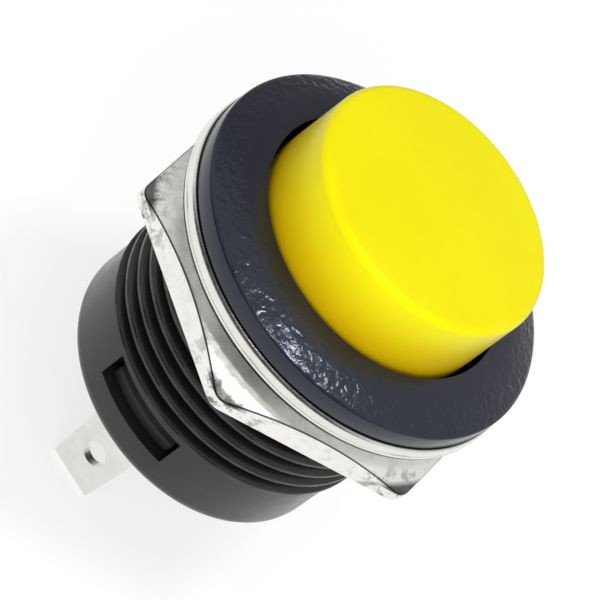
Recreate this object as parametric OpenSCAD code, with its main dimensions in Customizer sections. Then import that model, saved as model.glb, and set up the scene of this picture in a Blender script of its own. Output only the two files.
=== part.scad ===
// Momentary push button switch for panel mounting, normally open, with two solder lugs.
// The button moves along Z, +Z points out of the panel towards the cap, and the origin is the
// centre of the flange's underside, where the panel lies. The solder lugs stand at -Y and +Y.

/* [Barrel] */
// Diameter of the threaded barrel
thread_d = 16; // [14:0.5:20]
// Length of the plain tail behind the thread
tail_l = 3.95; // [3:0.05:4.6]
// How far the tail's surface lies below the thread's crests
tail_step = 0.2; // [0.1:0.05:0.4]
// Wall of the tail around the contact chamber
tail_wall = 1.4; // [1:0.1:1.8]
// Radius of the tail's rear edge
tail_round = 0.8; // [0.2:0.1:1.2]

/* [Flange] */
// How far the flange reaches past the thread
flange_lip = 1.9; // [1.2:0.1:3]
// Height of the flange's straight side
flange_side_h = 1.05; // [0.5:0.05:2]
// Rise of the crowned face from the side to the cap
flange_rise = 0.75; // [0.3:0.05:2]
// Wall between the thread and the well that the cap sinks into
well_wall = 0.9; // [0.7:0.05:1.5]

/* [Cap] */
// Travel of the button
travel = 3; // [2:0.1:3.8]
// How far the cap still stands above the flange when it is pressed
pressed_h = 1.1; // [0.3:0.1:2]
// Gap between the cap and the well around it
cap_gap = 0.3; // [0.1:0.05:0.4]
// Wall of the cap
cap_wall = 1.2; // [0.8:0.1:1.6]
// Radius of the cap's top edge
cap_round = 0.45; // [0.2:0.05:1]
// How much narrower the cap is at its top
cap_draft = 0.06; // [0:0.02:0.4]
// Rise of the cap's domed top
cap_crown = 0.15; // [0.05:0.05:0.5]
// How far the cap's skirt reaches below the flange's face at rest
skirt_depth = 0.9; // [0.5:0.1:1.4]
// Wall of the boss inside the cap that grips the stem
boss_wall = 0.9; // [0.6:0.1:1.2]

/* [Plunger] */
// Diameter of the stem where the cap is pushed on
stem_d = 3.2; // [2.6:0.1:3.6]
// Diameter of the stem in its guide
guide_d = 4.4; // [4:0.1:5]
// Diameter of the pin that carries the contact bridge
pin_d = 2.2; // [1.8:0.1:2.4]
// Thickness of the wall that guides the stem
guide_wall = 1; // [0.8:0.1:1.6]
// Thickness of the collar and wings that stop the plunger under that wall
collar_h = 1; // [0.8:0.1:1.4]
// How far the collar reaches past the stem in its guide
collar_lip = 0.8; // [0.5:0.1:1]
// Width of the two wings that keep the plunger from turning
wing_w = 2; // [1.6:0.1:2.6]
// Depth of the keyways that the wings slide in
keyway_depth = 0.4; // [0.2:0.05:0.5]

/* [Contacts] */
// Travel left after the contacts have met
overtravel = 1; // [0.6:0.1:1.2]
// Distance of the contacts from the axis
contact_y = 3; // [2.9:0.1:3.2]
// Diameter of the contact heads
contact_d = 1.6; // [1.2:0.1:1.8]
// Height of the contact heads
contact_h = 0.4; // [0.3:0.05:0.6]
// Diameter of the shanks that rivet the contacts in place
shank_d = 0.9; // [0.6:0.1:1]
// Height and overhang of the rivet heads on the bridge
rivet_head = 0.2; // [0.1:0.05:0.25]
// Thickness of the contact bridge
bridge_t = 0.4; // [0.3:0.05:0.6]
// Width of the contact bridge
bridge_w = 2.2; // [2:0.1:2.6]
// Wire of the contact spring
contact_wire = 0.25; // [0.2:0.05:0.3]
// Length of the contact spring at rest
contact_spring_h = 2.4; // [2:0.1:2.8]
// Wire of the return spring
return_wire = 0.5; // [0.4:0.05:0.6]
// Thickness of the retaining clip
clip_t = 0.35; // [0.25:0.05:0.5]
// How far the clip and the middle of the bridge reach past the pin
clip_lip = 0.8; // [0.5:0.1:0.9]
// Length of the pin below the clip
pin_end_l = 0.45; // [0.3:0.05:0.5]

/* [Base and lugs] */
// Thickness of the base that closes the tail
base_h = 2.85; // [2.2:0.05:4]
// Depth of the pocket in the base under the plunger's pin
pocket_depth = 0.9; // [0.7:0.1:1.2]
// Width of the latch windows in the tail
window_w = 5.2; // [4:0.1:6]
// Height of the latch windows
window_h = 1.75; // [1.4:0.05:2]
// Distance from the end of the thread to the windows
window_gap = 0.3; // [0.2:0.05:0.5]
// How far the latch hooks reach into the windows
hook_reach = 0.8; // [0.5:0.05:1.2]
// Thickness of the springy latch arms
arm_t = 0.8; // [0.6:0.1:1]
// Thickness of the base under the slits behind the latch arms
slit_floor_t = 0.8; // [0.5:0.1:1.2]
// Distance from the axis to a lug's outer face
lug_y = 4.2; // [4.1:0.05:4.4]
// Thickness of the lugs
lug_t = 0.5; // [0.4:0.05:0.6]
// Width of a lug at its tip
lug_tip_w = 2.8; // [2.4:0.1:3.2]
// Width of a lug where it leaves the base
lug_root_w = 3.6; // [3.2:0.1:4]
// Length of a lug behind the base
lug_l = 6.75; // [5:0.25:9]
// Diameter of the wire hole in a lug
wire_hole_d = 1.4; // [1:0.1:1.6]
// Distance from a lug's tip to the centre of its wire hole
wire_hole_from_tip = 2.2; // [1.6:0.1:2.6]
// Width of the foot that carries a fixed contact
foot_w = 2.6; // [2.2:0.1:3]

/* [Washer and nut] */
// How far the washer's rim reaches past the flange's rim
washer_lip = 0.15; // [-0.3:0.05:0.5]
// Thickness of the washer
washer_t = 1.1; // [0.8:0.1:2]
// Radius of the washer's rim
washer_rim = 0.35; // [0.1:0.05:0.4]
// Gap between the washer's bore and the thread
washer_gap = 0.15; // [0.1:0.05:0.4]
// Thickness of the nut behind its raised ring
nut_t = 2.1; // [1.8:0.1:3.5]
// Distance from the thread to the middle of each of the nut's flats
nut_wall = 1.6; // [1.4:0.1:3]
// Slope of the nut's chamfer
nut_chamfer = 30; // [15:1:30]
// Width of the raised ring around the bore that presses on the washer
nut_face_w = 0.4; // [0.2:0.1:1.4]
// Height of that ring
nut_ring_h = 0.3; // [0.1:0.05:0.5]
// How much is turned off the nut's sharp corners
nut_corner_trim = 0.14; // [0:0.02:0.3]
// How far the nut is turned from having a corner at +X
nut_turn = 41.6; // [0:0.2:60]

/* [Hidden] */
// Facets of every round surface, drawn only in previews
$fn = 96;
ARC_STEPS = 8;
// Clearances: a running fit, a seat within one body, and a gap that keeps two pieces apart
running_gap = 0.05;
seat_gap = 0.02;
free_gap = 0.3;
// A cut's run past the face that it opens
past = 1;
soft_edge = 0.15;

thread_r = thread_d / 2;
flange_r = thread_r + flange_lip;
flange_top = flange_side_h + flange_rise;
well_r = thread_r - well_wall;
cap_r = well_r - cap_gap;
cap_top = flange_top + travel + pressed_h;
cap_ceiling = cap_top - cap_crown - cap_wall;
cap_skirt = flange_top - skirt_depth;
well_floor = cap_skirt - travel - free_gap;

stem_r = stem_d / 2;
guide_r = guide_d / 2;
pin_r = pin_d / 2;
boss_r = stem_r + boss_wall;
stem_top = cap_ceiling - free_gap;
guide_under = well_floor - guide_wall;
collar_under = guide_under - collar_h;
collar_r = guide_r + collar_lip;

contact_gap = travel - overtravel;
bridge_top = collar_under - contact_spring_h;
bridge_under = bridge_top - bridge_t;
moving_face = bridge_under - contact_h;
fixed_face = moving_face - contact_gap;
foot_top = fixed_face - contact_h;
base_top = foot_top - lug_t;
rear = base_top - base_h;
thread_end = rear + tail_l;
clip_under = bridge_under - clip_t;
pin_tip = clip_under - pin_end_l;
clip_r = pin_r + clip_lip;
pocket_r = clip_r + free_gap;

tail_r = thread_r - tail_step;
chamber_r = tail_r - tail_wall;
keyway_r = chamber_r + keyway_depth;
insert_r = chamber_r - running_gap;
window_top = thread_end - window_gap;
window_under = window_top - window_h;
arm_w = window_w - 2 * free_gap;
slit_floor = rear + slit_floor_t;

lug_tip = rear - lug_l;
foot_inner = contact_y - contact_d / 2 - 2 * running_gap;
shank_r = shank_d / 2;
spring_coil_r = (boss_r + cap_r - cap_wall) / 2;

washer_r = flange_r + washer_lip;
nut_af = thread_d + 2 * nut_wall;
nut_corner_r = nut_af / sqrt(3);
nut_ring_top = -washer_t;
nut_front = nut_ring_top - nut_ring_h;
nut_rear = nut_front - nut_t;
nut_bore_r = thread_r + running_gap;
nut_face_r = nut_bore_r + nut_face_w;

// Points of an arc about c, from angle a0 to a1
function arc(c, r, a0, a1) =
    [for (i = [0:ARC_STEPS]) let (a = a0 + (a1 - a0) * i / ARC_STEPS) c + r * [cos(a), sin(a)]];

// A shallow crown from radius r0 at height z0 inwards to radius r1, rising by h
function crown(r0, z0, r1, h) =
    [for (i = [0:ARC_STEPS]) let (t = i / ARC_STEPS) [r0 + (r1 - r0) * t, z0 + h * sin(90 * t)]];

// Rise of a spring's wire after a share t of its turns, as a share of the whole rise.
// The first and last turns rise by closed each, and the turns between them share the rest.
function coil_rise(t, turns, closed) =
    let (a = t * turns)
    a < 1 ? closed * a :
    a > turns - 1 ? 1 - closed * (turns - a) :
    closed + (1 - 2 * closed) * (a - 1) / (turns - 2);

// Helical wire from z0 up to z1, as a swept tube with closed ends
module coil(r, wire_d, z0, z1, turns, steps = 20, sides = 8) {
    rings = turns * steps;
    low = z0 + wire_d / 2;
    high = z1 - wire_d / 2;
    closed = 1.04 * wire_d / (high - low);
    points = [
        for (i = [0:rings], j = [0:sides - 1])
            let (
                turn = 360 * i / steps,
                lift = low + (high - low) * coil_rise(i / rings, turns, closed),
                side = 360 * j / sides,
                reach = r + wire_d / 2 * cos(side)
            )
            [reach * cos(turn), reach * sin(turn), lift + wire_d / 2 * sin(side)]
    ];
    walls = [
        for (i = [0:rings - 1], j = [0:sides - 1])
            let (k = (j + 1) % sides)
            [i * sides + j, (i + 1) * sides + j, (i + 1) * sides + k, i * sides + k]
    ];
    first_end = [[for (j = [0:sides - 1]) j]];
    last_end = [[for (j = [sides - 1:-1:0]) rings * sides + j]];
    polyhedron(points, concat(walls, first_end, last_end));
}

// A cylinder from z0 up to z1
module post(r, z0, z1) {
    translate([0, 0, z0]) cylinder(r = r, h = z1 - z0);
}

// A box centred on X, from y0 to y1 and z0 to z1
module bar(w, y0, y1, z0, z1) {
    translate([-w / 2, y0, z0]) cube([w, y1 - y0, z1 - z0]);
}

// One copy at -Y, or with side = 1 the same thing turned round to +Y
module on_side(side) {
    rotate([0, 0, side > 0 ? 180 : 0]) children();
}

module flange_and_barrel() {
    rotate_extrude()
        polygon(concat(
            [[0, rear]],
            [[tail_r - tail_round, rear]],
            arc([tail_r - tail_round, rear + tail_round], tail_round, -90, 0),
            [[tail_r, thread_end + soft_edge]],
            [[0, thread_end + soft_edge]]
        ));
    post(thread_r, thread_end, 0);
    rotate_extrude()
        polygon(concat(
            [[0, 0]],
            [[flange_r - soft_edge, 0]],
            [[flange_r, soft_edge]],
            crown(flange_r, flange_side_h, well_r, flange_rise),
            [[0, flange_top]]
        ));
}

module housing() {
    color([0.16, 0.16, 0.18])
    difference() {
        flange_and_barrel();
        post(well_r, well_floor, flange_top + past);
        post(guide_r + running_gap, guide_under - past, well_floor + past);
        post(chamber_r, rear - past, guide_under);
        for (x = [-1, 1])
            intersection() {
                post(keyway_r, rear - past, guide_under);
                translate([x * keyway_r / 2, 0, (rear - past + guide_under) / 2])
                    cube([keyway_r, wing_w + 2 * running_gap, guide_under - rear + past], center = true);
            }
        bar(window_w, -thread_r - past, -chamber_r / 2, window_under, window_top);
        bar(window_w, chamber_r / 2, thread_r + past, window_under, window_top);
    }
}

module button_cap() {
    top_r = cap_r - cap_draft;
    shoulder = cap_top - cap_crown - cap_round;
    color([0.96, 0.9, 0.03])
    difference() {
        rotate_extrude()
            polygon(concat(
                [[0, cap_skirt]],
                [[cap_r, cap_skirt]],
                arc([top_r - cap_round, shoulder], cap_round, 0, 90),
                [for (i = [1:ARC_STEPS]) let (t = i / ARC_STEPS)
                    [(top_r - cap_round) * (1 - t), shoulder + cap_round + cap_crown * sin(90 * t)]]
            ));
        difference() {
            post(cap_r - cap_wall, cap_skirt - past, cap_ceiling);
            post(boss_r, cap_skirt - past, cap_ceiling + past);
        }
        post(stem_r + seat_gap, cap_skirt - past, cap_ceiling);
    }
}

module plunger() {
    color([0.85, 0.85, 0.82])
    difference() {
        union() {
            post(stem_r, cap_skirt, stem_top);
            post(guide_r, guide_under, cap_skirt);
            post(collar_r, collar_under, guide_under);
            intersection() {
                post(keyway_r - running_gap, collar_under, guide_under);
                translate([0, 0, (collar_under + guide_under) / 2])
                    cube([2 * keyway_r, wing_w, collar_h], center = true);
            }
            post(pin_r, pin_tip, collar_under);
        }
        difference() {
            post(pin_r + past, clip_under, bridge_under);
            post(pin_r - free_gap, clip_under - past, bridge_under + past);
        }
    }
}

module return_spring() {
    color([0.75, 0.76, 0.78])
        coil(spring_coil_r, return_wire, well_floor, cap_ceiling, 6);
}

module contact_spring() {
    color([0.75, 0.76, 0.78])
        coil(pin_r + contact_wire / 2 + seat_gap * 4, contact_wire, bridge_top, collar_under, 5);
}

module contact_bridge() {
    reach = contact_y + contact_d / 2;
    color([0.8, 0.55, 0.3])
    difference() {
        union() {
            bar(bridge_w, -reach, reach, bridge_under, bridge_top);
            post(clip_r, bridge_under, bridge_top);
        }
        post(pin_r + running_gap, bridge_under - past, bridge_top + past);
        for (y = [-contact_y, contact_y])
            translate([0, y, 0])
                post(shank_r + seat_gap, bridge_under - past, bridge_top + past);
    }
}

module moving_contact(side) {
    color([0.85, 0.85, 0.86])
    on_side(side)
        translate([0, -contact_y, 0]) {
            post(contact_d / 2, moving_face, bridge_under);
            post(shank_r, bridge_under, bridge_top);
            post(shank_r + rivet_head, bridge_top, bridge_top + rivet_head);
        }
}

module moving_contact_left() {
    moving_contact(-1);
}

module moving_contact_right() {
    moving_contact(1);
}

module retaining_clip() {
    color([0.7, 0.7, 0.72])
    difference() {
        post(clip_r, clip_under, bridge_under);
        post(pin_r - free_gap + seat_gap, clip_under - past, bridge_under + past);
        translate([0, -(pin_r - free_gap), clip_under - past])
            cube([clip_r + past, 2 * (pin_r - free_gap), clip_t + 2 * past]);
    }
}

module terminal_base() {
    color([0.13, 0.13, 0.15])
    difference() {
        union() {
            post(insert_r, rear, base_top);
            intersection() {
                post(keyway_r - running_gap, rear, base_top);
                translate([0, 0, (rear + base_top) / 2])
                    cube([2 * keyway_r, wing_w, base_h], center = true);
            }
            for (side = [-1, 1])
                on_side(side) latch_arm();
        }
        post(pocket_r, base_top - pocket_depth, base_top + past);
        for (side = [-1, 1])
            on_side(side) {
                lug_slot();
                latch_slit();
            }
    }
}

// A springy arm at -Y that rises from the base, with a hook that has snapped into the latch window
module latch_arm() {
    hook_under = window_under + free_gap / 2;
    hook_flat = window_h / 3;
    intersection() {
        rotate_extrude()
            polygon([
                [insert_r - arm_t, rear], [insert_r, rear], [insert_r, hook_under],
                [insert_r + hook_reach, hook_under], [insert_r + hook_reach, hook_under + hook_flat],
                [insert_r, window_top - free_gap / 2], [insert_r, window_top],
                [insert_r - arm_t, window_top]
            ]);
        bar(arm_w, -thread_r, -insert_r / 2, rear, window_top);
    }
}

// Slit behind the arm at -Y, so that the arm can bend
module latch_slit() {
    bar(arm_w, -insert_r + arm_t, -insert_r + 2 * arm_t, slit_floor, base_top + past);
}

module lug_slot() {
    bar(lug_root_w + 2 * seat_gap, -lug_y - seat_gap, -lug_y + lug_t + seat_gap, rear - past, base_top + past);
}

module terminal(side) {
    color([0.82, 0.83, 0.84])
    on_side(side)
        difference() {
            union() {
                translate([0, -lug_y + lug_t, 0])
                    rotate([90, 0, 0])
                        linear_extrude(lug_t)
                            polygon([
                                [-lug_tip_w / 2, lug_tip], [lug_tip_w / 2, lug_tip],
                                [lug_root_w / 2, rear], [lug_root_w / 2, base_top],
                                [foot_w / 2, base_top], [foot_w / 2, foot_top],
                                [-foot_w / 2, foot_top], [-foot_w / 2, base_top],
                                [-lug_root_w / 2, base_top], [-lug_root_w / 2, rear]
                            ]);
                bar(foot_w, -lug_y, -foot_inner, base_top, foot_top);
            }
            translate([0, -lug_y - past, lug_tip + wire_hole_from_tip])
                rotate([-90, 0, 0]) cylinder(d = wire_hole_d, h = lug_t + 2 * past);
            translate([0, -contact_y, 0])
                post(shank_r + seat_gap, base_top - past, foot_top + past);
        }
}

module terminal_left() {
    terminal(-1);
}

module terminal_right() {
    terminal(1);
}

module fixed_contact(side) {
    color([0.85, 0.85, 0.86])
    on_side(side)
        translate([0, -contact_y, 0]) {
            post(contact_d / 2, foot_top, fixed_face);
            post(shank_r, base_top, foot_top);
        }
}

module fixed_contact_left() {
    fixed_contact(-1);
}

module fixed_contact_right() {
    fixed_contact(1);
}

module washer() {
    rim = washer_rim;
    bore_r = thread_r + washer_gap;
    color([0.85, 0.85, 0.84])
    rotate_extrude()
        polygon(concat(
            arc([washer_r - rim, -rim], rim, 90, 0),
            arc([washer_r - rim, -washer_t + rim], rim, 0, -90),
            [[bore_r, -washer_t], [bore_r, 0]]
        ));
}

module hex_nut() {
    side_r = nut_corner_r - nut_corner_trim;
    slope = tan(nut_chamfer);
    color([0.86, 0.86, 0.84])
    rotate([0, 0, nut_turn])
    difference() {
        intersection() {
            translate([0, 0, nut_rear])
                cylinder(r = nut_corner_r, h = nut_ring_top - nut_rear, $fn = 6);
            rotate_extrude()
                polygon([
                    [0, nut_rear - past],
                    [side_r, nut_rear - past],
                    [side_r, nut_front - (side_r - nut_face_r) * slope],
                    [nut_face_r, nut_front],
                    [nut_face_r, nut_ring_top],
                    [0, nut_ring_top]
                ]);
        }
        post(nut_bore_r, nut_rear - past, nut_ring_top + past);
    }
}

housing();
button_cap();
plunger();
return_spring();
contact_spring();
contact_bridge();
moving_contact_left();
moving_contact_right();
retaining_clip();
terminal_base();
terminal_left();
terminal_right();
fixed_contact_left();
fixed_contact_right();
washer();
hex_nut();
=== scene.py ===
"""Momentary push button switch: shapes, finishes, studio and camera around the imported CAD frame."""

import math

import bmesh
import bpy
import numpy as np
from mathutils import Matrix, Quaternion, Vector


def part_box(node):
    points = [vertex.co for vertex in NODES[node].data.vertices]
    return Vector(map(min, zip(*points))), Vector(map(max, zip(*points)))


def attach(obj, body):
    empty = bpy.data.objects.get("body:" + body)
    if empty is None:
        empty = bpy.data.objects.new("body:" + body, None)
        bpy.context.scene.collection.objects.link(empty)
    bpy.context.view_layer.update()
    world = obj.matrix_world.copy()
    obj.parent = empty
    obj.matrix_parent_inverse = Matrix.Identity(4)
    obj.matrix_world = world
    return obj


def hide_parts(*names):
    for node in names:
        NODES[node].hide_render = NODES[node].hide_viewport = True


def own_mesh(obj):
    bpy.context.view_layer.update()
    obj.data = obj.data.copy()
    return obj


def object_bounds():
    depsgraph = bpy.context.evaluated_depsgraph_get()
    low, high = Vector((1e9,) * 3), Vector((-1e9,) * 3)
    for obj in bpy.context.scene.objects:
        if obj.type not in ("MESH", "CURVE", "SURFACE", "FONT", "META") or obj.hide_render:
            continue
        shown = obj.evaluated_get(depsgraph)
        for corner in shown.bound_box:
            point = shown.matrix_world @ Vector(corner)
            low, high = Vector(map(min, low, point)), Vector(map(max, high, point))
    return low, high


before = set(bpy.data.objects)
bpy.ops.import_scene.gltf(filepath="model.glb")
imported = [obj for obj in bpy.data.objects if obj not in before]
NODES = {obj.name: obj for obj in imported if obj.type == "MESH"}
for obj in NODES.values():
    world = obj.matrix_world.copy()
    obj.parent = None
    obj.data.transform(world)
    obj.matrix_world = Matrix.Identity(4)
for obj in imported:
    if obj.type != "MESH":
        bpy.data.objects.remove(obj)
cad_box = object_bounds()

MM = 0.001

# Camera: where it stands round the object, how it is rolled, and its lens
VIEW_AZIMUTH = 6.66
VIEW_ELEVATION = 40.31
VIEW_ROLL = 52.98
VIEW_DISTANCE = 190.4
VIEW_TARGET_X = -0.43
VIEW_TARGET_Z = -4.6
VIEW_LENS = 234.0

# Studio: light of the surroundings, and what their sky, unlit side and two panels show in reflections
WORLD_LEVEL = 0.39
UNLIT_SIDE = 0.06
SKY = 0.86
DIM_PANEL = 0.36
BRIGHT_PANEL = 0.7

# Where the surroundings change, from and to, along the unit vector of the direction: Y for the unlit
# side and the far side, Z for the sky, X for the line between the two panels
UNLIT_Y = (-0.35, -0.05)
FAR_SIDE_Y = (0.3, 0.45)
SKY_Z = (0.8, 0.92)
PANELS_X = (-0.105, -0.07)

# Floor: its drop below the lugs in mm, its width in metres, its grey where it lights the object and
# where it is seen, and the glow that makes the seen one white
FLOOR_DROP = 0.3
FLOOR_WIDTH = 6.0
FLOOR_LIT = 0.8
FLOOR_SEEN = 0.3
FLOOR_GLOW = 0.73

# Distance of the lamps, in metres
LAMP_DISTANCE = 0.6

# Thread of the barrel and the nut, in mm, right-handed. Crest and flank are shares of the pitch on
# each side of the crest's middle, and the fade is the run-out under the flange
THREAD_R = 8.0
THREAD_PITCH = 1.0
THREAD_DEPTH = 0.58
THREAD_TOP = -0.5
THREAD_END = -9.4
THREAD_STEP = 0.05
THREAD_NECK_R = 7.9
THREAD_CREST = 0.09
THREAD_FLANK = 0.33
THREAD_FADE = 2.0
RUNNING_GAP = 0.05

# Housing, in mm
FLANGE_SIDE = 1.05
FLANGE_TOP = 1.8
FLANGE_EDGE_ROUND = 0.14
FLANGE_REAR_ROUND = 0.12
FLANGE_REAR_CHORD = 0.035
CROWN_STEPS = 16
WELL_R = 7.1
WELL_FLOOR = -2.4
GUIDE_R = 2.25
GUIDE_UNDER = -3.4
CHAMBER_R = 6.4
KEYWAY_R = 6.8
KEYWAY_W = 2.1
TAIL_R = 7.8
TAIL_ROUND = 0.8
WINDOW_W = 5.2
WINDOW_TOP = -9.7
WINDOW_UNDER = -11.45

# Cap, in mm
CAP_WALL = 1.2
CAP_ROUND = 0.45
CAP_DRAFT = 0.06
CAP_CROWN = 0.15
CAP_STEPS = 16
# Height over the flange's top over which painted shade deepens the cap's tone
CAP_SHADE_REACH = 3.2
BOSS_R = 2.5
STEM_R = 1.6
SEAT_GAP = 0.02

# Washer, in mm: the groove's heights are over its underside
WASHER_GAP = 0.15
WASHER_RIM_ROUND = 0.32
WASHER_BORE_ROUND = 0.1
GROOVE_FROM = 0.42
GROOVE_MIDDLE = 0.46
GROOVE_TO = 0.5
GROOVE_DEPTH = 0.02

# Nut, in mm and degrees
NUT_HALF_FLAT = 9.6
NUT_CORNER_ROUND = 0.9
NUT_EDGE_ROUND = 0.16
NUT_FACE_W = 0.4
NUT_RING_H = 0.3
NUT_CHAMFER = 30
NUT_TURN = math.radians(41.6)

# Where the finishes change, from and to, in mm: R is a distance from the axis, and Z a height
CROWN_INNER_R = (7.8, 8.7)
CROWN_OUTER_R = (9.7, 9.84)
# Reach of the painted shade in the thread's roots
ROOT_SHADE_R = (7.55, 7.95)
ROOT_SHADE_Z = (THREAD_END, THREAD_END + 0.1)
NUT_SPOTS_R = (9.75, 10.5)
# Reach of the painted dark reflection on the nut's corner tips
NUT_TIPS_R = (10.35, 10.6)
NUT_TIPS_Z = (-2.9, -2.84)

# The same for the washer's painted shade, whose heights are over its underside and under its top, and
# whose distances are in from its rim, and for the nut's painted dark reflection along its edge, as
# depths under its cone
SHADE_UNDER_RISE = (0.29, 0.33)
SHADE_UNDER_IN = (0.2, 0.14)
SHADE_OVER_DROP = (0.1, 0.05)
SHADE_OVER_IN = (0.34, 0.28)
EDGE_LINE_LOWER = (0.07, 0.05)
EDGE_LINE_UPPER = (0.012, 0.006)
EDGE_LINE_SHARE = 0.85

# Dark tones of the finishes, and the dark of their painted shade and painted dark reflections
ROOT_SHADE_TONE = (0.003, 0.003, 0.004)
NUT_SPOT_TONE = (0.12, 0.115, 0.11)
NUT_TIP_REFLECTION_TONE = (0.07, 0.07, 0.065)
PAINTED_DARK_TONE = (0.012, 0.012, 0.012)

# Steps round a turned piece
SEGMENTS = 288
NUT_SEGMENTS = 720


# ---------------------------------------------------------------- mesh helpers


def box_mm(node):
    """Lowest and highest corner of a CAD node, in mm."""
    low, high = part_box(node)
    return low / MM, high / MM


def arc_points(before, corner, after, radius, steps):
    """Points of a fillet of that radius at corner, between the lines to before and after."""
    corner, a, b = (np.array(p[:2], float) for p in (corner, before, after))
    u, v = (a - corner) / np.linalg.norm(a - corner), (b - corner) / np.linalg.norm(b - corner)
    half = math.acos(max(-1.0, min(1.0, float(u @ v)))) / 2
    reach = radius / math.tan(half)
    centre = corner + (u + v) / np.linalg.norm(u + v) * radius / math.sin(half)
    start, end = corner + u * reach - centre, corner + v * reach - centre
    turn = math.atan2(start[0] * end[1] - start[1] * end[0], start @ end)
    points = []
    for i in range(steps + 1):
        c, s = math.cos(turn * i / steps), math.sin(turn * i / steps)
        points.append(centre + np.array([start[0] * c - start[1] * s, start[0] * s + start[1] * c]))
    return points


def rounded(corners, steps=5, closed=True):
    """Profile points (r, z) from corners (r, z, radius)."""
    points = []
    for i, (r, z, radius) in enumerate(corners):
        inner = closed or 0 < i < len(corners) - 1
        if radius > 0 and inner:
            before, after = corners[i - 1], corners[(i + 1) % len(corners)]
            points += [(p[0], p[1]) for p in arc_points(before, (r, z), after, radius, steps)]
        else:
            points.append((r, z))
    return points


def finish_mesh(mesh, materials, sharp=35.0):
    """Merges doubled points, turns the faces outwards and sets smooth shading with sharp edges."""
    work = bmesh.new()
    work.from_mesh(mesh)
    bmesh.ops.remove_doubles(work, verts=work.verts, dist=1e-8)
    bmesh.ops.dissolve_degenerate(work, dist=1e-8, edges=work.edges)
    bmesh.ops.recalc_face_normals(work, faces=work.faces)
    work.to_mesh(mesh)
    work.free()
    mesh.materials.clear()
    for m in materials:
        mesh.materials.append(m)
    mesh.shade_smooth()
    mesh.set_sharp_from_angle(angle=math.radians(sharp))


def make_piece(name, mesh, body, replaced=()):
    """An object for the mesh that rides on a body and stands for CAD nodes, which it hides."""
    piece = bpy.data.objects.new(name, mesh)
    bpy.context.scene.collection.objects.link(piece)
    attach(piece, body)
    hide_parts(*replaced)
    return piece


def spin_mesh(name, profile, segments=SEGMENTS, closed=True, shape=None):
    """Mesh of a profile (r, z) in mm turned about Z. shape(theta, r, z) may move each ring."""
    r, z = np.array(profile, float).T[:, None, :]
    theta = (2 * np.pi * np.arange(segments) / segments)[:, None]
    r, z = shape(theta, r, z) if shape else (r + 0 * theta, z + 0 * theta)
    points = np.stack([r * np.cos(theta), r * np.sin(theta), z + 0 * r], axis=-1).reshape(-1, 3) * MM
    count = len(profile)
    spans = count if closed else count - 1
    i, j = (k.ravel() for k in np.meshgrid(np.arange(segments), np.arange(spans), indexing="ij"))
    i2, j2 = (i + 1) % segments, (j + 1) % count
    faces = np.stack([i * count + j, i2 * count + j, i2 * count + j2, i * count + j2], axis=-1)
    mesh = bpy.data.meshes.new(name)
    mesh.from_pydata(points.tolist(), [], faces.tolist())
    return mesh


def cut_boxes(mesh, boxes):
    """The mesh with boxes (low corner, high corner) in mm cut out of it."""
    cutter_mesh = bpy.data.meshes.new("cutter")
    work = bmesh.new()
    for low, high in boxes:
        made = bmesh.ops.create_cube(work, size=1.0)["verts"]
        centre, size = (Vector(low) + Vector(high)) / 2, Vector(high) - Vector(low)
        for v in made:
            v.co = (Vector(a * b for a, b in zip(v.co, size)) + centre) * MM
    work.to_mesh(cutter_mesh)
    work.free()
    body = bpy.data.objects.new("cut_body", mesh)
    cutter = bpy.data.objects.new("cutter", cutter_mesh)
    for o in (body, cutter):
        bpy.context.scene.collection.objects.link(o)
    cut = body.modifiers.new("cut", "BOOLEAN")
    cut.object, cut.operation, cut.solver = cutter, "DIFFERENCE", "EXACT"
    graph = bpy.context.evaluated_depsgraph_get()
    result = bpy.data.meshes.new_from_object(body.evaluated_get(graph))
    for o in (body, cutter):
        bpy.data.objects.remove(o)
    return result


def thread_groove(theta, z):
    """Share of the thread's depth at an angle and a height: 0 on the crest, 1 in the root."""
    turn = z / THREAD_PITCH - theta / (2 * np.pi)
    off_crest = np.abs(np.mod(turn + 0.5, 1.0) - 0.5)
    share = np.clip((off_crest - THREAD_CREST) / THREAD_FLANK, 0, 1)
    return 0.5 * share + 0.5 * share * share * (3 - 2 * share)


# ---------------------------------------------------------------- shader helpers


def add_node(tree, kind, inputs=None, **settings):
    """A node with its settings; each input is a value, or a socket to link from."""
    node = tree.nodes.new(kind)
    for key, value in settings.items():
        setattr(node, key, value)
    for key, value in (inputs or {}).items():
        if isinstance(value, bpy.types.NodeSocket):
            tree.links.new(value, node.inputs[key])
        else:
            node.inputs[key].default_value = value
    return node


def object_coords(tree):
    """The point's own place in the frame of the part, in metres."""
    return add_node(tree, "ShaderNodeTexCoord").outputs["Object"]


def noise(tree, size_mm, detail=4.0, roughness=0.55, distortion=0.0, stretch=(1, 1, 1)):
    """Noise, 0 to 1, whose largest features are about size_mm across."""
    mapped = add_node(
        tree,
        "ShaderNodeMapping",
        {"Vector": object_coords(tree), "Scale": stretch},
        vector_type="POINT",
    )
    return add_node(
        tree,
        "ShaderNodeTexNoise",
        {
            "Vector": mapped.outputs["Vector"],
            "Scale": 1 / (size_mm * MM),
            "Detail": detail,
            "Roughness": roughness,
            "Distortion": distortion,
        },
    ).outputs["Fac"]


def axis_distance(tree):
    """Distance from the part's axis, in metres."""
    inputs = {0: object_coords(tree), 1: (1, 1, 0)}
    flat = add_node(tree, "ShaderNodeVectorMath", inputs, operation="MULTIPLY").outputs[0]
    return add_node(tree, "ShaderNodeVectorMath", {0: flat}, operation="LENGTH").outputs["Value"]


def height_up(tree):
    """Height along the part's axis, in metres."""
    return add_node(tree, "ShaderNodeSeparateXYZ", {"Vector": object_coords(tree)}).outputs["Z"]


def multiply(tree, first, second):
    """Product of two numbers or sockets."""
    return add_node(tree, "ShaderNodeMath", {0: first, 1: second}, operation="MULTIPLY").outputs[0]


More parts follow.
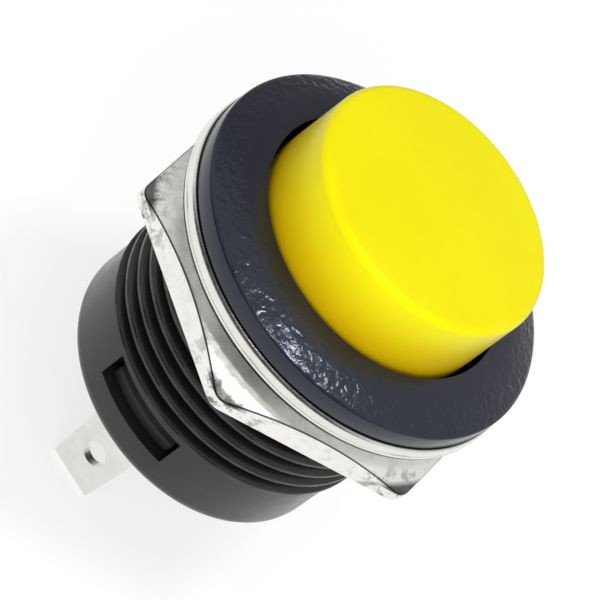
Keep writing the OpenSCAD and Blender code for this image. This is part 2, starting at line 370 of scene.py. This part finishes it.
def spread(tree, value, low, high, to_low, to_high):
    """A value mapped from low..high to to_low..to_high, held at both ends."""
    return add_node(
        tree,
        "ShaderNodeMapRange",
        {"Value": value, "From Min": low, "From Max": high, "To Min": to_low, "To Max": to_high},
        clamp=True,
    ).outputs["Result"]


def rise_mm(tree, value, low, high, top=1.0):
    """0 where the value is below low, and top where it is above high, both in mm."""
    return spread(tree, value, low * MM, high * MM, 0, top)


def fall_mm(tree, value, low, high):
    """1 where the value is below low, and 0 where it is above high, both in mm."""
    return spread(tree, value, low * MM, high * MM, 1, 0)


def blend_colours(tree, share, first, second):
    """Colour or socket first where the share is 0, and second where it is 1."""
    node = add_node(tree, "ShaderNodeMix", data_type="RGBA")
    for index, value in ((0, share), (6, first), (7, second)):
        if isinstance(value, bpy.types.NodeSocket):
            tree.links.new(value, node.inputs[index])
        else:
            node.inputs[index].default_value = (*value, 1.0)
    return node.outputs[2]


def clouds(tree, size_mm, low, high, first, second, **settings):
    """Two tones in clouds of that size: first where the noise is below low, second above high."""
    share = spread(tree, noise(tree, size_mm, **settings), low, high, 0, 1)
    return blend_colours(tree, share, first, second)


def bump(tree, height, depth_mm, strength=1.0, below=None):
    """Normal of a relief of that depth over another normal."""
    inputs = {"Height": height, "Distance": depth_mm * MM, "Strength": strength}
    if below is not None:
        inputs["Normal"] = below
    return add_node(tree, "ShaderNodeBump", inputs).outputs["Normal"]


def surface(name, metallic=0.0, **sockets):
    """A material with one Principled shader, whose own sockets take the plain values."""
    made = bpy.data.materials.new(name)
    made.use_nodes = True
    shader = made.node_tree.nodes["Principled BSDF"]
    shader.inputs["Metallic"].default_value = metallic
    for key, value in sockets.items():
        shader.inputs[key.replace("_", " ")].default_value = value
    return made, made.node_tree, shader


def wire_up(tree, shader, colour, roughness=None, normal=None):
    """Links what is given to the shader's sockets."""
    for key, value in (("Base Color", colour), ("Roughness", roughness), ("Normal", normal)):
        if value is not None:
            tree.links.new(value, shader.inputs[key])


# ---------------------------------------------------------------- materials


def painted_root_shade(tree):
    """Share of painted shade: 1 in the roots of the barrel's thread, 0 at its crests and behind it."""
    shaded_share = fall_mm(tree, axis_distance(tree), *ROOT_SHADE_R)
    return multiply(tree, shaded_share, rise_mm(tree, height_up(tree), *ROOT_SHADE_Z))


def crown_wrinkles(tree):
    """Height of the wrinkles on the flange's crown, level towards the well and at the edge."""
    height = spread(tree, noise(tree, 0.46, detail=1.5, distortion=0.5), 0.25, 0.75, 0, 1)
    reach = axis_distance(tree)
    outside_well = rise_mm(tree, reach, *CROWN_INNER_R)
    ring = multiply(tree, outside_well, fall_mm(tree, reach, *CROWN_OUTER_R))
    return multiply(tree, height, ring)


def black_plastic(name, tones, rough, grain_mm, grain_depth, wrinkles=0.0, tint=(0.96, 0.96, 1.0)):
    """Black moulded plastic, cloudy in tone and gloss, with a fine grain where that has a depth.

    With a depth for wrinkles it is the flange's face. Without one it has painted shade in the thread's
    roots.
    """
    made, tree, shader = surface(name, Specular_Tint=(*tint, 1.0))
    colour = clouds(tree, 3.0, 0.35, 0.7, *tones, detail=5)
    gloss = spread(tree, noise(tree, 1.1, detail=4), 0.2, 0.8, rough - 0.06, rough + 0.08)
    normal = None
    if grain_depth:
        normal = bump(tree, noise(tree, grain_mm, detail=3, roughness=0.6), grain_depth)
    if wrinkles:
        normal = bump(tree, crown_wrinkles(tree), wrinkles, below=normal)
    else:
        # Painted shade: the colour goes dark in the thread's roots, where the crests shade them
        colour = blend_colours(tree, painted_root_shade(tree), colour, ROOT_SHADE_TONE)
    wire_up(tree, shader, colour, gloss, normal)
    return made


def yellow_plastic():
    """Glossy yellow plastic that lets a little light through, with painted shade deepening its tone
    towards the skirt, where the flange shades it.
    """
    made, tree, shader = surface(
        "yellow_cap_plastic",
        Subsurface_Weight=0.25,
        Subsurface_Radius=(1.0, 0.45, 0.05),
        Subsurface_Scale=0.7 * MM,
        Specular_IOR_Level=0.36,
        Specular_Tint=(1.0, 0.85, 0.15, 1.0),
    )
    colour = clouds(tree, 5.0, 0.35, 0.65, (0.93, 0.82, 0.002), (0.96, 0.86, 0.003), detail=3)
    # Painted shade: the tone deepens towards the skirt, where the flange shades the cap
    shaded_share = fall_mm(tree, height_up(tree), FLANGE_TOP, FLANGE_TOP + CAP_SHADE_REACH)
    colour = blend_colours(tree, shaded_share, colour, (0.8, 0.52, 0.003))
    gloss = spread(tree, noise(tree, 2.5, detail=2), 0.1, 0.9, 0.26, 0.36)
    normal = bump(tree, noise(tree, 0.6, detail=2), 0.001, 0.5)
    wire_up(tree, shader, colour, gloss, normal)
    return made


def nut_spots(tree, share):
    """Share of the casting's grey spots, strongest at the nut's corners."""
    blotches = noise(tree, 0.9, detail=6, roughness=0.75, distortion=0.4)
    start, end = NUT_SPOTS_R
    corner = spread(tree, axis_distance(tree), start * MM, end * MM, 0.15, 1)
    return multiply(tree, spread(tree, blotches, 0.5, 0.6, 0, share), corner)


def painted_tip_reflection(tree):
    """Share of the painted dark reflection on the tips of the cone, where it reaches the nut's corners.
    """
    at_corner = rise_mm(tree, axis_distance(tree), *NUT_TIPS_R, 0.9)
    return multiply(tree, at_corner, rise_mm(tree, height_up(tree), *NUT_TIPS_Z))


def nickel(name, tones, rough, painted_dark, marks=0.006, waves=0.012, spots=0.0):
    """Nickel plating, cloudy in tone and gloss, with fine marks and low waves.

    The function given after the roughness gives the share where the colour is painted dark: painted
    shade on the washer, a painted dark reflection along the nut's edge. With a share for spots it is
    the nut's rougher casting, with grey spots and a painted dark reflection on the corner tips.
    """
    made, tree, shader = surface(name, metallic=1.0)
    colour = clouds(tree, 2.2, 0.4, 0.72, *tones, detail=6, roughness=0.6)
    if spots:
        colour = blend_colours(tree, nut_spots(tree, spots), colour, NUT_SPOT_TONE)
        # Painted dark reflection on the cone's tips at the nut's corners
        colour = blend_colours(tree, painted_tip_reflection(tree), colour, NUT_TIP_REFLECTION_TONE)
    # Painted dark of shade and dark reflections, from the function given
    colour = blend_colours(tree, painted_dark(tree), colour, PAINTED_DARK_TONE)
    haze = noise(tree, 0.5, detail=6, roughness=0.65)
    gloss = spread(tree, haze, 0.3, 0.75, rough - 0.06, rough + 0.12)
    normal = bump(tree, noise(tree, 0.16, detail=4, distortion=0.4), marks, 0.7)
    normal = bump(tree, noise(tree, 1.6, detail=3), waves, 0.5, below=normal)
    wire_up(tree, shader, colour, gloss, normal)
    return made


def painted_washer_shade(tree):
    """Painted shade on the roundings over and under the washer's rim, in the gaps to the flange and the
    nut.
    """
    low, high = box_mm("washer")
    height = height_up(tree)
    reach = axis_distance(tree)
    under = multiply(
        tree,
        fall_mm(tree, height, *(low.z + rise for rise in SHADE_UNDER_RISE)),
        rise_mm(tree, reach, *(high.x - inward for inward in SHADE_UNDER_IN)),
    )
    over = multiply(
        tree,
        rise_mm(tree, height, *(high.z - drop for drop in SHADE_OVER_DROP)),
        rise_mm(tree, reach, *(high.x - inward for inward in SHADE_OVER_IN)),
    )
    return add_node(tree, "ShaderNodeMath", {0: under, 1: over}, operation="MAXIMUM").outputs[0]


def painted_edge_reflection(tree):
    """A painted dark reflection along the line where the nut's cone turns over into its sides."""
    top = box_mm("hex_nut")[1].z - NUT_RING_H
    lean = math.tan(math.radians(NUT_CHAMFER))
    cone = top + (THREAD_R + RUNNING_GAP + NUT_FACE_W) * lean
    terms = {0: multiply(tree, axis_distance(tree), lean), 1: height_up(tree)}
    level = add_node(tree, "ShaderNodeMath", terms, operation="ADD").outputs[0]
    return multiply(
        tree,
        fall_mm(tree, level, *(cone - depth for depth in EDGE_LINE_UPPER)),
        rise_mm(tree, level, *(cone - depth for depth in EDGE_LINE_LOWER), EDGE_LINE_SHARE),
    )


def plain_finish(name, tones, rough, metallic=0.0, grain_mm=0.3, depth=0.004, stretch=(1, 1, 1)):
    """Finish of the pieces inside: two close tones, cloudy gloss and a fine grain."""
    made, tree, shader = surface(name, metallic=metallic)
    tone = clouds(tree, 1.4, 0.35, 0.7, *tones, detail=5)
    gloss = spread(tree, noise(tree, 0.7, detail=5), 0.3, 0.75, rough - 0.05, rough + 0.1)
    normal = bump(tree, noise(tree, grain_mm, detail=4, stretch=stretch), depth, 0.7)
    wire_up(tree, shader, tone, gloss, normal)
    return made


# ---------------------------------------------------------------- pieces


def dome_points(centre, rim, steps):
    """Points (r, z, 0) of a dome's profile after its centre point, out to its rim."""
    points = []
    for i in range(1, steps + 1):
        t = 1 - i / steps
        r = rim[0] + (centre[0] - rim[0]) * t
        z = rim[1] + (centre[1] - rim[1]) * math.sin(math.pi / 2 * t)
        points.append((r, z, 0))
    return points


def housing_profile():
    """Profile of the moulding, over the crown and down the outside, then up through the inside."""
    low, high = box_mm("housing")
    flange_r, rear = high.x, low.z
    corners = [(WELL_R, FLANGE_TOP, 0)]
    corners += dome_points((WELL_R, FLANGE_TOP), (flange_r, FLANGE_SIDE), CROWN_STEPS)[:-1]
    corners += [(flange_r, FLANGE_SIDE, FLANGE_EDGE_ROUND), (flange_r, FLANGE_REAR_ROUND, 0)]
    profile = rounded(corners, closed=False)
    profile.append((flange_r - FLANGE_REAR_CHORD, FLANGE_REAR_CHORD))
    profile.append((flange_r - FLANGE_REAR_ROUND, 0))
    profile.append((THREAD_NECK_R, 0))
    rows = int(round((THREAD_TOP - THREAD_END) / THREAD_STEP))
    profile += [(THREAD_R, THREAD_TOP - i * THREAD_STEP) for i in range(rows + 1)]
    inside = [
        (TAIL_R, THREAD_END, 0),
        (TAIL_R, rear, TAIL_ROUND),
        (CHAMBER_R, rear, 0.12),
        (CHAMBER_R, GUIDE_UNDER, 0),
        (GUIDE_R, GUIDE_UNDER, 0),
        (GUIDE_R, WELL_FLOOR, 0.1),
        (WELL_R, WELL_FLOOR, 0),
    ]
    return profile + rounded(inside, closed=False)


def barrel_shape(theta, r, z):
    """Sinks the thread's groove into the rows that lie on the barrel's crest."""
    on_thread = (np.abs(r - THREAD_R) < 1e-6) & (z <= THREAD_TOP + 1e-6)
    fade = np.clip((THREAD_TOP - z) / THREAD_FADE, 0, 1)
    sunk = THREAD_DEPTH * thread_groove(theta, z) * fade * on_thread
    return r - sunk, z + 0 * theta


def split_finish(mesh):
    """Gives the flange's crown and side the first material, and the rest the second."""
    for face in mesh.polygons:
        reach = math.hypot(face.center.x, face.center.y) / MM
        on_flange = face.center.z > 0.05 * MM and reach > WELL_R - 0.02
        face.material_index = 0 if on_flange else 1


def make_housing():
    """The moulding: crowned flange, threaded barrel, plain tail, two latch windows and two keyways."""
    rear = box_mm("housing")[0].z
    face = black_plastic(
        "flange_face",
        ((0.011, 0.0117, 0.018), (0.015, 0.016, 0.0235)),
        rough=0.19,
        grain_mm=0.1,
        grain_depth=0.0,
        wrinkles=0.036,
        tint=(0.74, 0.8, 1.0),
    )
    barrel = black_plastic(
        "barrel_plastic",
        ((0.0125, 0.0125, 0.0135), (0.0185, 0.0185, 0.0195)),
        rough=0.27,
        grain_mm=0.09,
        grain_depth=0.00008,
    )
    mesh = spin_mesh("housing_moulding", housing_profile(), shape=barrel_shape)
    finish_mesh(mesh, [face, barrel])
    # The cutting boxes reach this far, in mm, past the surfaces they cut through
    past = 1.0
    half_w, half_key = WINDOW_W / 2, KEYWAY_W / 2
    cuts = []
    for side in (-1, 1):
        y0, y1 = sorted((side * CHAMBER_R / 2, side * (THREAD_R + past)))
        cuts.append(((-half_w, y0, WINDOW_UNDER), (half_w, y1, WINDOW_TOP)))
        x0, x1 = sorted((side * CHAMBER_R * 0.9, side * KEYWAY_R))
        cuts.append(((x0, -half_key, rear - past), (x1, half_key, GUIDE_UNDER)))
    mesh = cut_boxes(mesh, cuts)
    finish_mesh(mesh, [face, barrel])
    split_finish(mesh)
    return make_piece("housing_moulding", mesh, "housing", ["housing"])


def make_cap():
    """The hollow cap: soft top edge, shallow dome, thin skirt and the boss that grips the stem."""
    low, high = box_mm("button_cap")
    cap_r, skirt, top = high.x, low.z, high.z
    shoulder_r = cap_r - CAP_DRAFT
    ceiling = top - CAP_CROWN - CAP_WALL
    corners = [(0, top, 0)]
    corners += dome_points((0, top), (shoulder_r - CAP_ROUND, top - CAP_CROWN), CAP_STEPS)[:-1]
    corners += [
        (shoulder_r, top - CAP_CROWN, CAP_ROUND * 0.95),
        (cap_r, skirt, 0.12),
        (cap_r - CAP_WALL, skirt, 0.1),
        (cap_r - CAP_WALL, ceiling, 0.2),
        (BOSS_R, ceiling, 0.2),
        (BOSS_R, skirt, 0.08),
        (STEM_R + SEAT_GAP, skirt, 0.05),
        (STEM_R + SEAT_GAP, ceiling, 0),
        (0, ceiling, 0),
    ]
    mesh = spin_mesh("cap_moulding", rounded(corners, steps=8, closed=False), closed=False)
    finish_mesh(mesh, [yellow_plastic()])
    return make_piece("cap_moulding", mesh, "button", ["button_cap"])


def make_washer():
    """The turned washer, with both rims rounded and a fine groove round its side."""
    low, high = box_mm("washer")
    bore_r = THREAD_R + WASHER_GAP
    corners = [
        (bore_r, low.z, WASHER_BORE_ROUND),
        (high.x, low.z, WASHER_RIM_ROUND),
        (high.x, low.z + GROOVE_FROM, 0),
        (high.x - GROOVE_DEPTH, low.z + GROOVE_MIDDLE, 0),
        (high.x, low.z + GROOVE_TO, 0),
        (high.x, high.z, WASHER_RIM_ROUND),
        (bore_r, high.z, WASHER_BORE_ROUND),
    ]
    mesh = spin_mesh("plain_washer", rounded(corners, steps=8))
    tones = (0.83, 0.82, 0.78), (0.76, 0.75, 0.71)
    # The washer's finish carries painted shade on its rim roundings
    finish_mesh(mesh, [nickel("washer_nickel", tones, 0.24, painted_washer_shade)])
    return make_piece("plain_washer", mesh, "washer", ["washer"])


def nut_outline(theta, half_flat, corner_round):
    """Distance from the axis to the nut's side at an angle, with the corners rounded off."""
    off_flat = np.mod(theta - NUT_TURN, np.pi / 3) - np.pi / 6
    off_corner = np.pi / 6 - np.abs(off_flat)
    centre = (half_flat - corner_round) / math.cos(math.pi / 6)
    aside = centre * np.sin(off_corner)
    arc = centre * np.cos(off_corner) + np.sqrt(np.maximum(corner_round**2 - aside**2, 0))
    flat = half_flat / np.cos(off_flat)
    on_arc = arc * np.sin(off_corner) < corner_round * math.sin(math.pi / 6)
    return np.where(on_arc, arc, flat)


def make_nut():
    """The hexagon nut: a wide turned cone towards the washer, rounded corners and a threaded bore."""
    low, high = box_mm("hex_nut")
    ring_top, rear = high.z, low.z
    front = ring_top - NUT_RING_H
    bore_r = THREAD_R + RUNNING_GAP
    face_r = bore_r + NUT_FACE_W
    edge = NUT_EDGE_ROUND
    rows = int(round((ring_top - rear) / THREAD_STEP))
    bore = [rear + (ring_top - rear) * i / rows for i in range(rows + 1)]
    cone_steps, edge_steps = 12, 5

    def shape(theta, r, z):
        side = nut_outline(theta, NUT_HALF_FLAT, NUT_CORNER_ROUND)
        tilt = math.radians(NUT_CHAMFER)
        zero = 0 * side
        # Rings from the face outwards: the face, the cone, its rounded edge and the rear edge
        cone_end = side - edge * (1 - math.sin(tilt))
        fall = front - (cone_end - face_r) * math.tan(tilt)
        rings = [(face_r + zero, ring_top + zero), (face_r + zero, front + zero)]
        for i in range(1, cone_steps):
            ring_r = face_r + (cone_end - face_r) * i / cone_steps
            rings.append((ring_r, front - (ring_r - face_r) * math.tan(tilt)))
        for i in range(edge_steps + 1):
            a = tilt + (math.pi / 2 - tilt) * i / edge_steps
            down = edge * (math.cos(tilt) - math.cos(a))
            rings.append((side - edge * (1 - math.sin(a)), fall - down))
        for i in range(edge_steps + 1):
            a = math.pi / 2 * i / edge_steps
            up = 0.5 * edge * (1 - math.sin(a))
            rings.append((side - 0.5 * edge * (1 - math.cos(a)), rear + up + zero))
        out_r, out_z = r + 0 * theta, z + 0 * theta
        out_r[:, : rows + 1] = bore_r - THREAD_DEPTH * thread_groove(theta, z[:, : rows + 1])
        for i, (ring_r, ring_z) in enumerate(rings):
            out_r[:, rows + 1 + i] = ring_r[:, 0]
            out_z[:, rows + 1 + i] = ring_z[:, 0]
        return out_r, out_z

    rings = cone_steps + 2 * edge_steps + 3
    profile = [(bore_r, z) for z in bore] + [(face_r, front)] * rings
    mesh = spin_mesh("nut_body", profile, segments=NUT_SEGMENTS, shape=shape)
    tones = (0.95, 0.94, 0.91), (0.9, 0.89, 0.86)
    # The nut's finish carries a painted dark reflection along its edges and on its corner tips
    finish = nickel("nut_nickel", tones, 0.42, painted_edge_reflection, marks=0.003, waves=0.006, spots=0.85)
    finish_mesh(mesh, [finish], sharp=25)
    return make_piece("nut_body", mesh, "nut", ["hex_nut"])


def coil_mesh(name, radius, wire_r, z0, z1, turns, steps=40, sides=12):
    """A wire wound into a coil from z0 up to z1, both in mm, with one closed turn at each end."""
    low, high = z0 + wire_r, z1 - wire_r
    # A closed turn rises by the wire's diameter and 4% of air, here as a share of the whole rise
    closed = 2.08 * wire_r / (high - low)
    share = np.arange(turns * steps + 1) / steps
    middle = closed + (1 - 2 * closed) * (share - 1) / (turns - 2)
    upper = np.where(share > turns - 1, 1 - closed * (turns - share), middle)
    rise = np.where(share < 1, closed * share, upper)
    angle, side = share[:, None] * 2 * np.pi, (np.arange(sides) / sides * 2 * np.pi)[None, :]
    reach = radius + wire_r * np.cos(side) + 0 * angle
    height = low + (high - low) * rise[:, None] + wire_r * np.sin(side)
    points = np.stack([reach * np.cos(angle), reach * np.sin(angle), height], -1).reshape(-1, 3) * MM
    faces = []
    rings = len(share)
    for i in range(rings - 1):
        for j in range(sides):
            k = (j + 1) % sides
            faces.append((i * sides + j, (i + 1) * sides + j, (i + 1) * sides + k, i * sides + k))
    faces.append(tuple(range(sides)))
    faces.append(tuple(range(rings * sides - 1, (rings - 1) * sides - 1, -1)))
    mesh = bpy.data.meshes.new(name)
    mesh.from_pydata(points.tolist(), [], faces)
    return mesh


def make_springs(steel):
    """The return spring under the cap and the small spring over the contact bridge.

    Each row ends with the wire's radius, the joint's travel, both in mm, and the end that stands still.
    """
    for name, node, body, joint, turns, wire_r, travel, still in (
        ("return_coil", "return_spring", "housing", "button_press", 6, 0.25, 3.0, "rear"),
        ("contact_coil", "contact_spring", "button", "bridge_slide", 5, 0.125, 1.0, "front"),
    ):
        low, high = box_mm(node)
        mesh = coil_mesh(name, high.x - wire_r, wire_r, low.z, high.z, turns)
        finish_mesh(mesh, [steel], sharp=60)
        piece = make_piece(name, mesh, body, [node])
        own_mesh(piece)


def finish_cad_nodes(steel):
    """Finishes and softened edges for the CAD pieces that keep their own shape."""
    silver_tones = (0.86, 0.85, 0.83), (0.74, 0.73, 0.7)
    lug_tones = (0.88, 0.87, 0.84), (0.78, 0.77, 0.74)
    brass_tones = (0.78, 0.56, 0.24), (0.66, 0.45, 0.17)
    natural_tones = (0.72, 0.7, 0.62), (0.66, 0.63, 0.54)
    base_tones = (0.012, 0.0125, 0.014), (0.018, 0.0185, 0.02)
    silver = plain_finish("contact_silver", silver_tones, 0.28, 1.0)
    lug = plain_finish("tinned_lug", lug_tones, 0.3, 1.0, 0.35, 0.006)
    brass = plain_finish("bridge_brass", brass_tones, 0.3, 1.0, 0.2, 0.004, (1, 0.1, 1))
    natural = plain_finish("natural_plastic", natural_tones, 0.4)
    base = black_plastic("base_plastic", base_tones, 0.4, 0.1, 0.004)
    # Each node's finish and the width of its softened edges, in mm
    finishes = {
        "plunger": (natural, 0.06),
        "contact_bridge": (brass, 0.05),
        "moving_contact_left": (silver, 0.06),
        "moving_contact_right": (silver, 0.06),
        "fixed_contact_left": (silver, 0.06),
        "fixed_contact_right": (silver, 0.06),
        "retaining_clip": (steel, 0.04),
        "terminal_base": (base, 0.06),
        "terminal_left": (lug, 0.05),
        "terminal_right": (lug, 0.05),
    }
    for name, (made, edge) in finishes.items():
        node = NODES[name]
        node.data.materials.clear()
        node.data.materials.append(made)
        soften = node.modifiers.new("soft_edges", "BEVEL")
        soften.width, soften.segments, soften.limit_method = edge * MM, 2, "ANGLE"
        soften.angle_limit = math.radians(40)
        soften.harden_normals = True


# ---------------------------------------------------------------- studio


def seen_share(tree):
    """1 for camera, glossy and transmission rays, 0 for the rays that light the object."""
    path = add_node(tree, "ShaderNodeLightPath")
    seen = path.outputs["Is Camera Ray"]
    for key in ("Is Glossy Ray", "Is Transmission Ray"):
        terms = {0: seen, 1: path.outputs[key]}
        seen = add_node(tree, "ShaderNodeMath", terms, operation="ADD").outputs[0]
    return seen


def make_floor():
    """A plain white floor just under the lugs. It shows white to the camera and keeps the shadow."""
    floor_z = cad_box[0].z - FLOOR_DROP * MM
    bpy.ops.mesh.primitive_plane_add(size=FLOOR_WIDTH, location=(0, 0, floor_z))
    floor = bpy.context.object
    floor.name = "studio_floor"
    made, tree, shader = surface("studio_floor", Roughness=0.9)
    seen = spread(tree, seen_share(tree), 0.0, 1.0, 0.0, 1.0)
    wire_up(tree, shader, blend_colours(tree, seen, (FLOOR_LIT,) * 3, (FLOOR_SEEN,) * 3))
    shader.inputs["Specular IOR Level"].default_value = 0.0
    strength = multiply(tree, seen_share(tree), FLOOR_GLOW)
    glow = add_node(tree, "ShaderNodeEmission", {"Strength": strength})
    both = add_node(tree, "ShaderNodeAddShader", {0: shader.outputs[0], 1: glow.outputs[0]})
    tree.links.new(both.outputs[0], tree.nodes["Material Output"].inputs["Surface"])
    floor.data.materials.append(made)


def make_world():
    """White surroundings. Only reflections show the unlit side, at -Y, and the two panels at +Y."""
    world = bpy.data.worlds.new("studio_world")
    bpy.context.scene.world = world
    world.use_nodes = True
    tree = world.node_tree
    direction = add_node(tree, "ShaderNodeTexCoord").outputs["Generated"]
    axis = add_node(tree, "ShaderNodeSeparateXYZ", {"Vector": direction})
    low_sky = spread(tree, axis.outputs["Z"], *SKY_Z, 1.0, 0.0)
    unlit = multiply(tree, spread(tree, axis.outputs["Y"], *UNLIT_Y, 1.0, 0.0), low_sky)
    panel = spread(tree, axis.outputs["X"], *PANELS_X, DIM_PANEL, BRIGHT_PANEL)
    far_side = spread(tree, axis.outputs["Y"], *FAR_SIDE_Y, 0.0, 1.0)
    mirrored = blend_colours(tree, multiply(tree, far_side, low_sky), (SKY,) * 3, panel)
    mirrored = blend_colours(tree, unlit, mirrored, (UNLIT_SIDE,) * 3)
    glossy = add_node(tree, "ShaderNodeLightPath").outputs["Is Glossy Ray"]
    shade = blend_colours(tree, glossy, (1.0, 1.0, 1.0), mirrored)
    strength = spread(tree, seen_share(tree), 0.0, 1.0, WORLD_LEVEL, 1.0)
    tree.links.new(strength, tree.nodes["Background"].inputs["Strength"])
    tree.links.new(shade, tree.nodes["Background"].inputs["Color"])


def towards(azimuth, elevation):
    """Unit vector from the object to a place at those angles, in degrees. Azimuth 0 is -Y."""
    a, e = math.radians(azimuth), math.radians(elevation)
    return Vector((math.sin(a) * math.cos(e), -math.cos(a) * math.cos(e), math.sin(e)))


def add_softbox(name, azimuth, elevation, size, watts, mirrored=True):
    """A round area light that faces the object. Its size is in metres.

    With mirrored off it lights the object but shows in no reflection.
    """
    back = towards(azimuth, elevation)
    data = bpy.data.lights.new(name, "AREA")
    data.shape, data.size, data.energy = "DISK", size, watts
    lamp = bpy.data.objects.new(name, data)
    lamp.location = back * LAMP_DISTANCE
    lamp.rotation_mode = "QUATERNION"
    lamp.rotation_quaternion = (-back).to_track_quat("-Z", "Y")
    lamp.visible_glossy = mirrored
    bpy.context.scene.collection.objects.link(lamp)


def make_camera():
    """The camera, aimed at its target and rolled about its line of sight."""
    data = bpy.data.cameras.new("camera")
    data.lens = VIEW_LENS
    data.clip_start, data.clip_end = 10 * MM, 10.0
    camera = bpy.data.objects.new("camera", data)
    bpy.context.scene.collection.objects.link(camera)
    back = towards(VIEW_AZIMUTH, VIEW_ELEVATION)
    camera.location = Vector((VIEW_TARGET_X, 0, VIEW_TARGET_Z)) * MM + back * VIEW_DISTANCE * MM
    camera.rotation_mode = "QUATERNION"
    level = (-back).to_track_quat("-Z", "Y")
    camera.rotation_quaternion = level @ Quaternion((0, 0, 1), math.radians(VIEW_ROLL))
    bpy.context.scene.camera = camera


def main():
    """Builds the studio and every piece, in a fixed order."""
    make_camera()
    make_world()
    make_floor()
    add_softbox("key_light", azimuth=75, elevation=81, size=0.11, watts=1.15)
    add_softbox("rim_light", azimuth=5, elevation=70, size=0.05, watts=0.28)
    add_softbox("front_fill", azimuth=18, elevation=32, size=0.5, watts=1.9, mirrored=False)
    steel_tones = (0.6, 0.6, 0.6), (0.45, 0.45, 0.46)
    steel = plain_finish("spring_steel", steel_tones, 0.28, 1.0, 0.1, 0.002, (1, 1, 0.2))
    make_housing()
    make_cap()
    make_washer()
    make_nut()
    make_springs(steel)
    finish_cad_nodes(steel)
    bpy.context.scene.view_settings.view_transform = "Standard"


main()
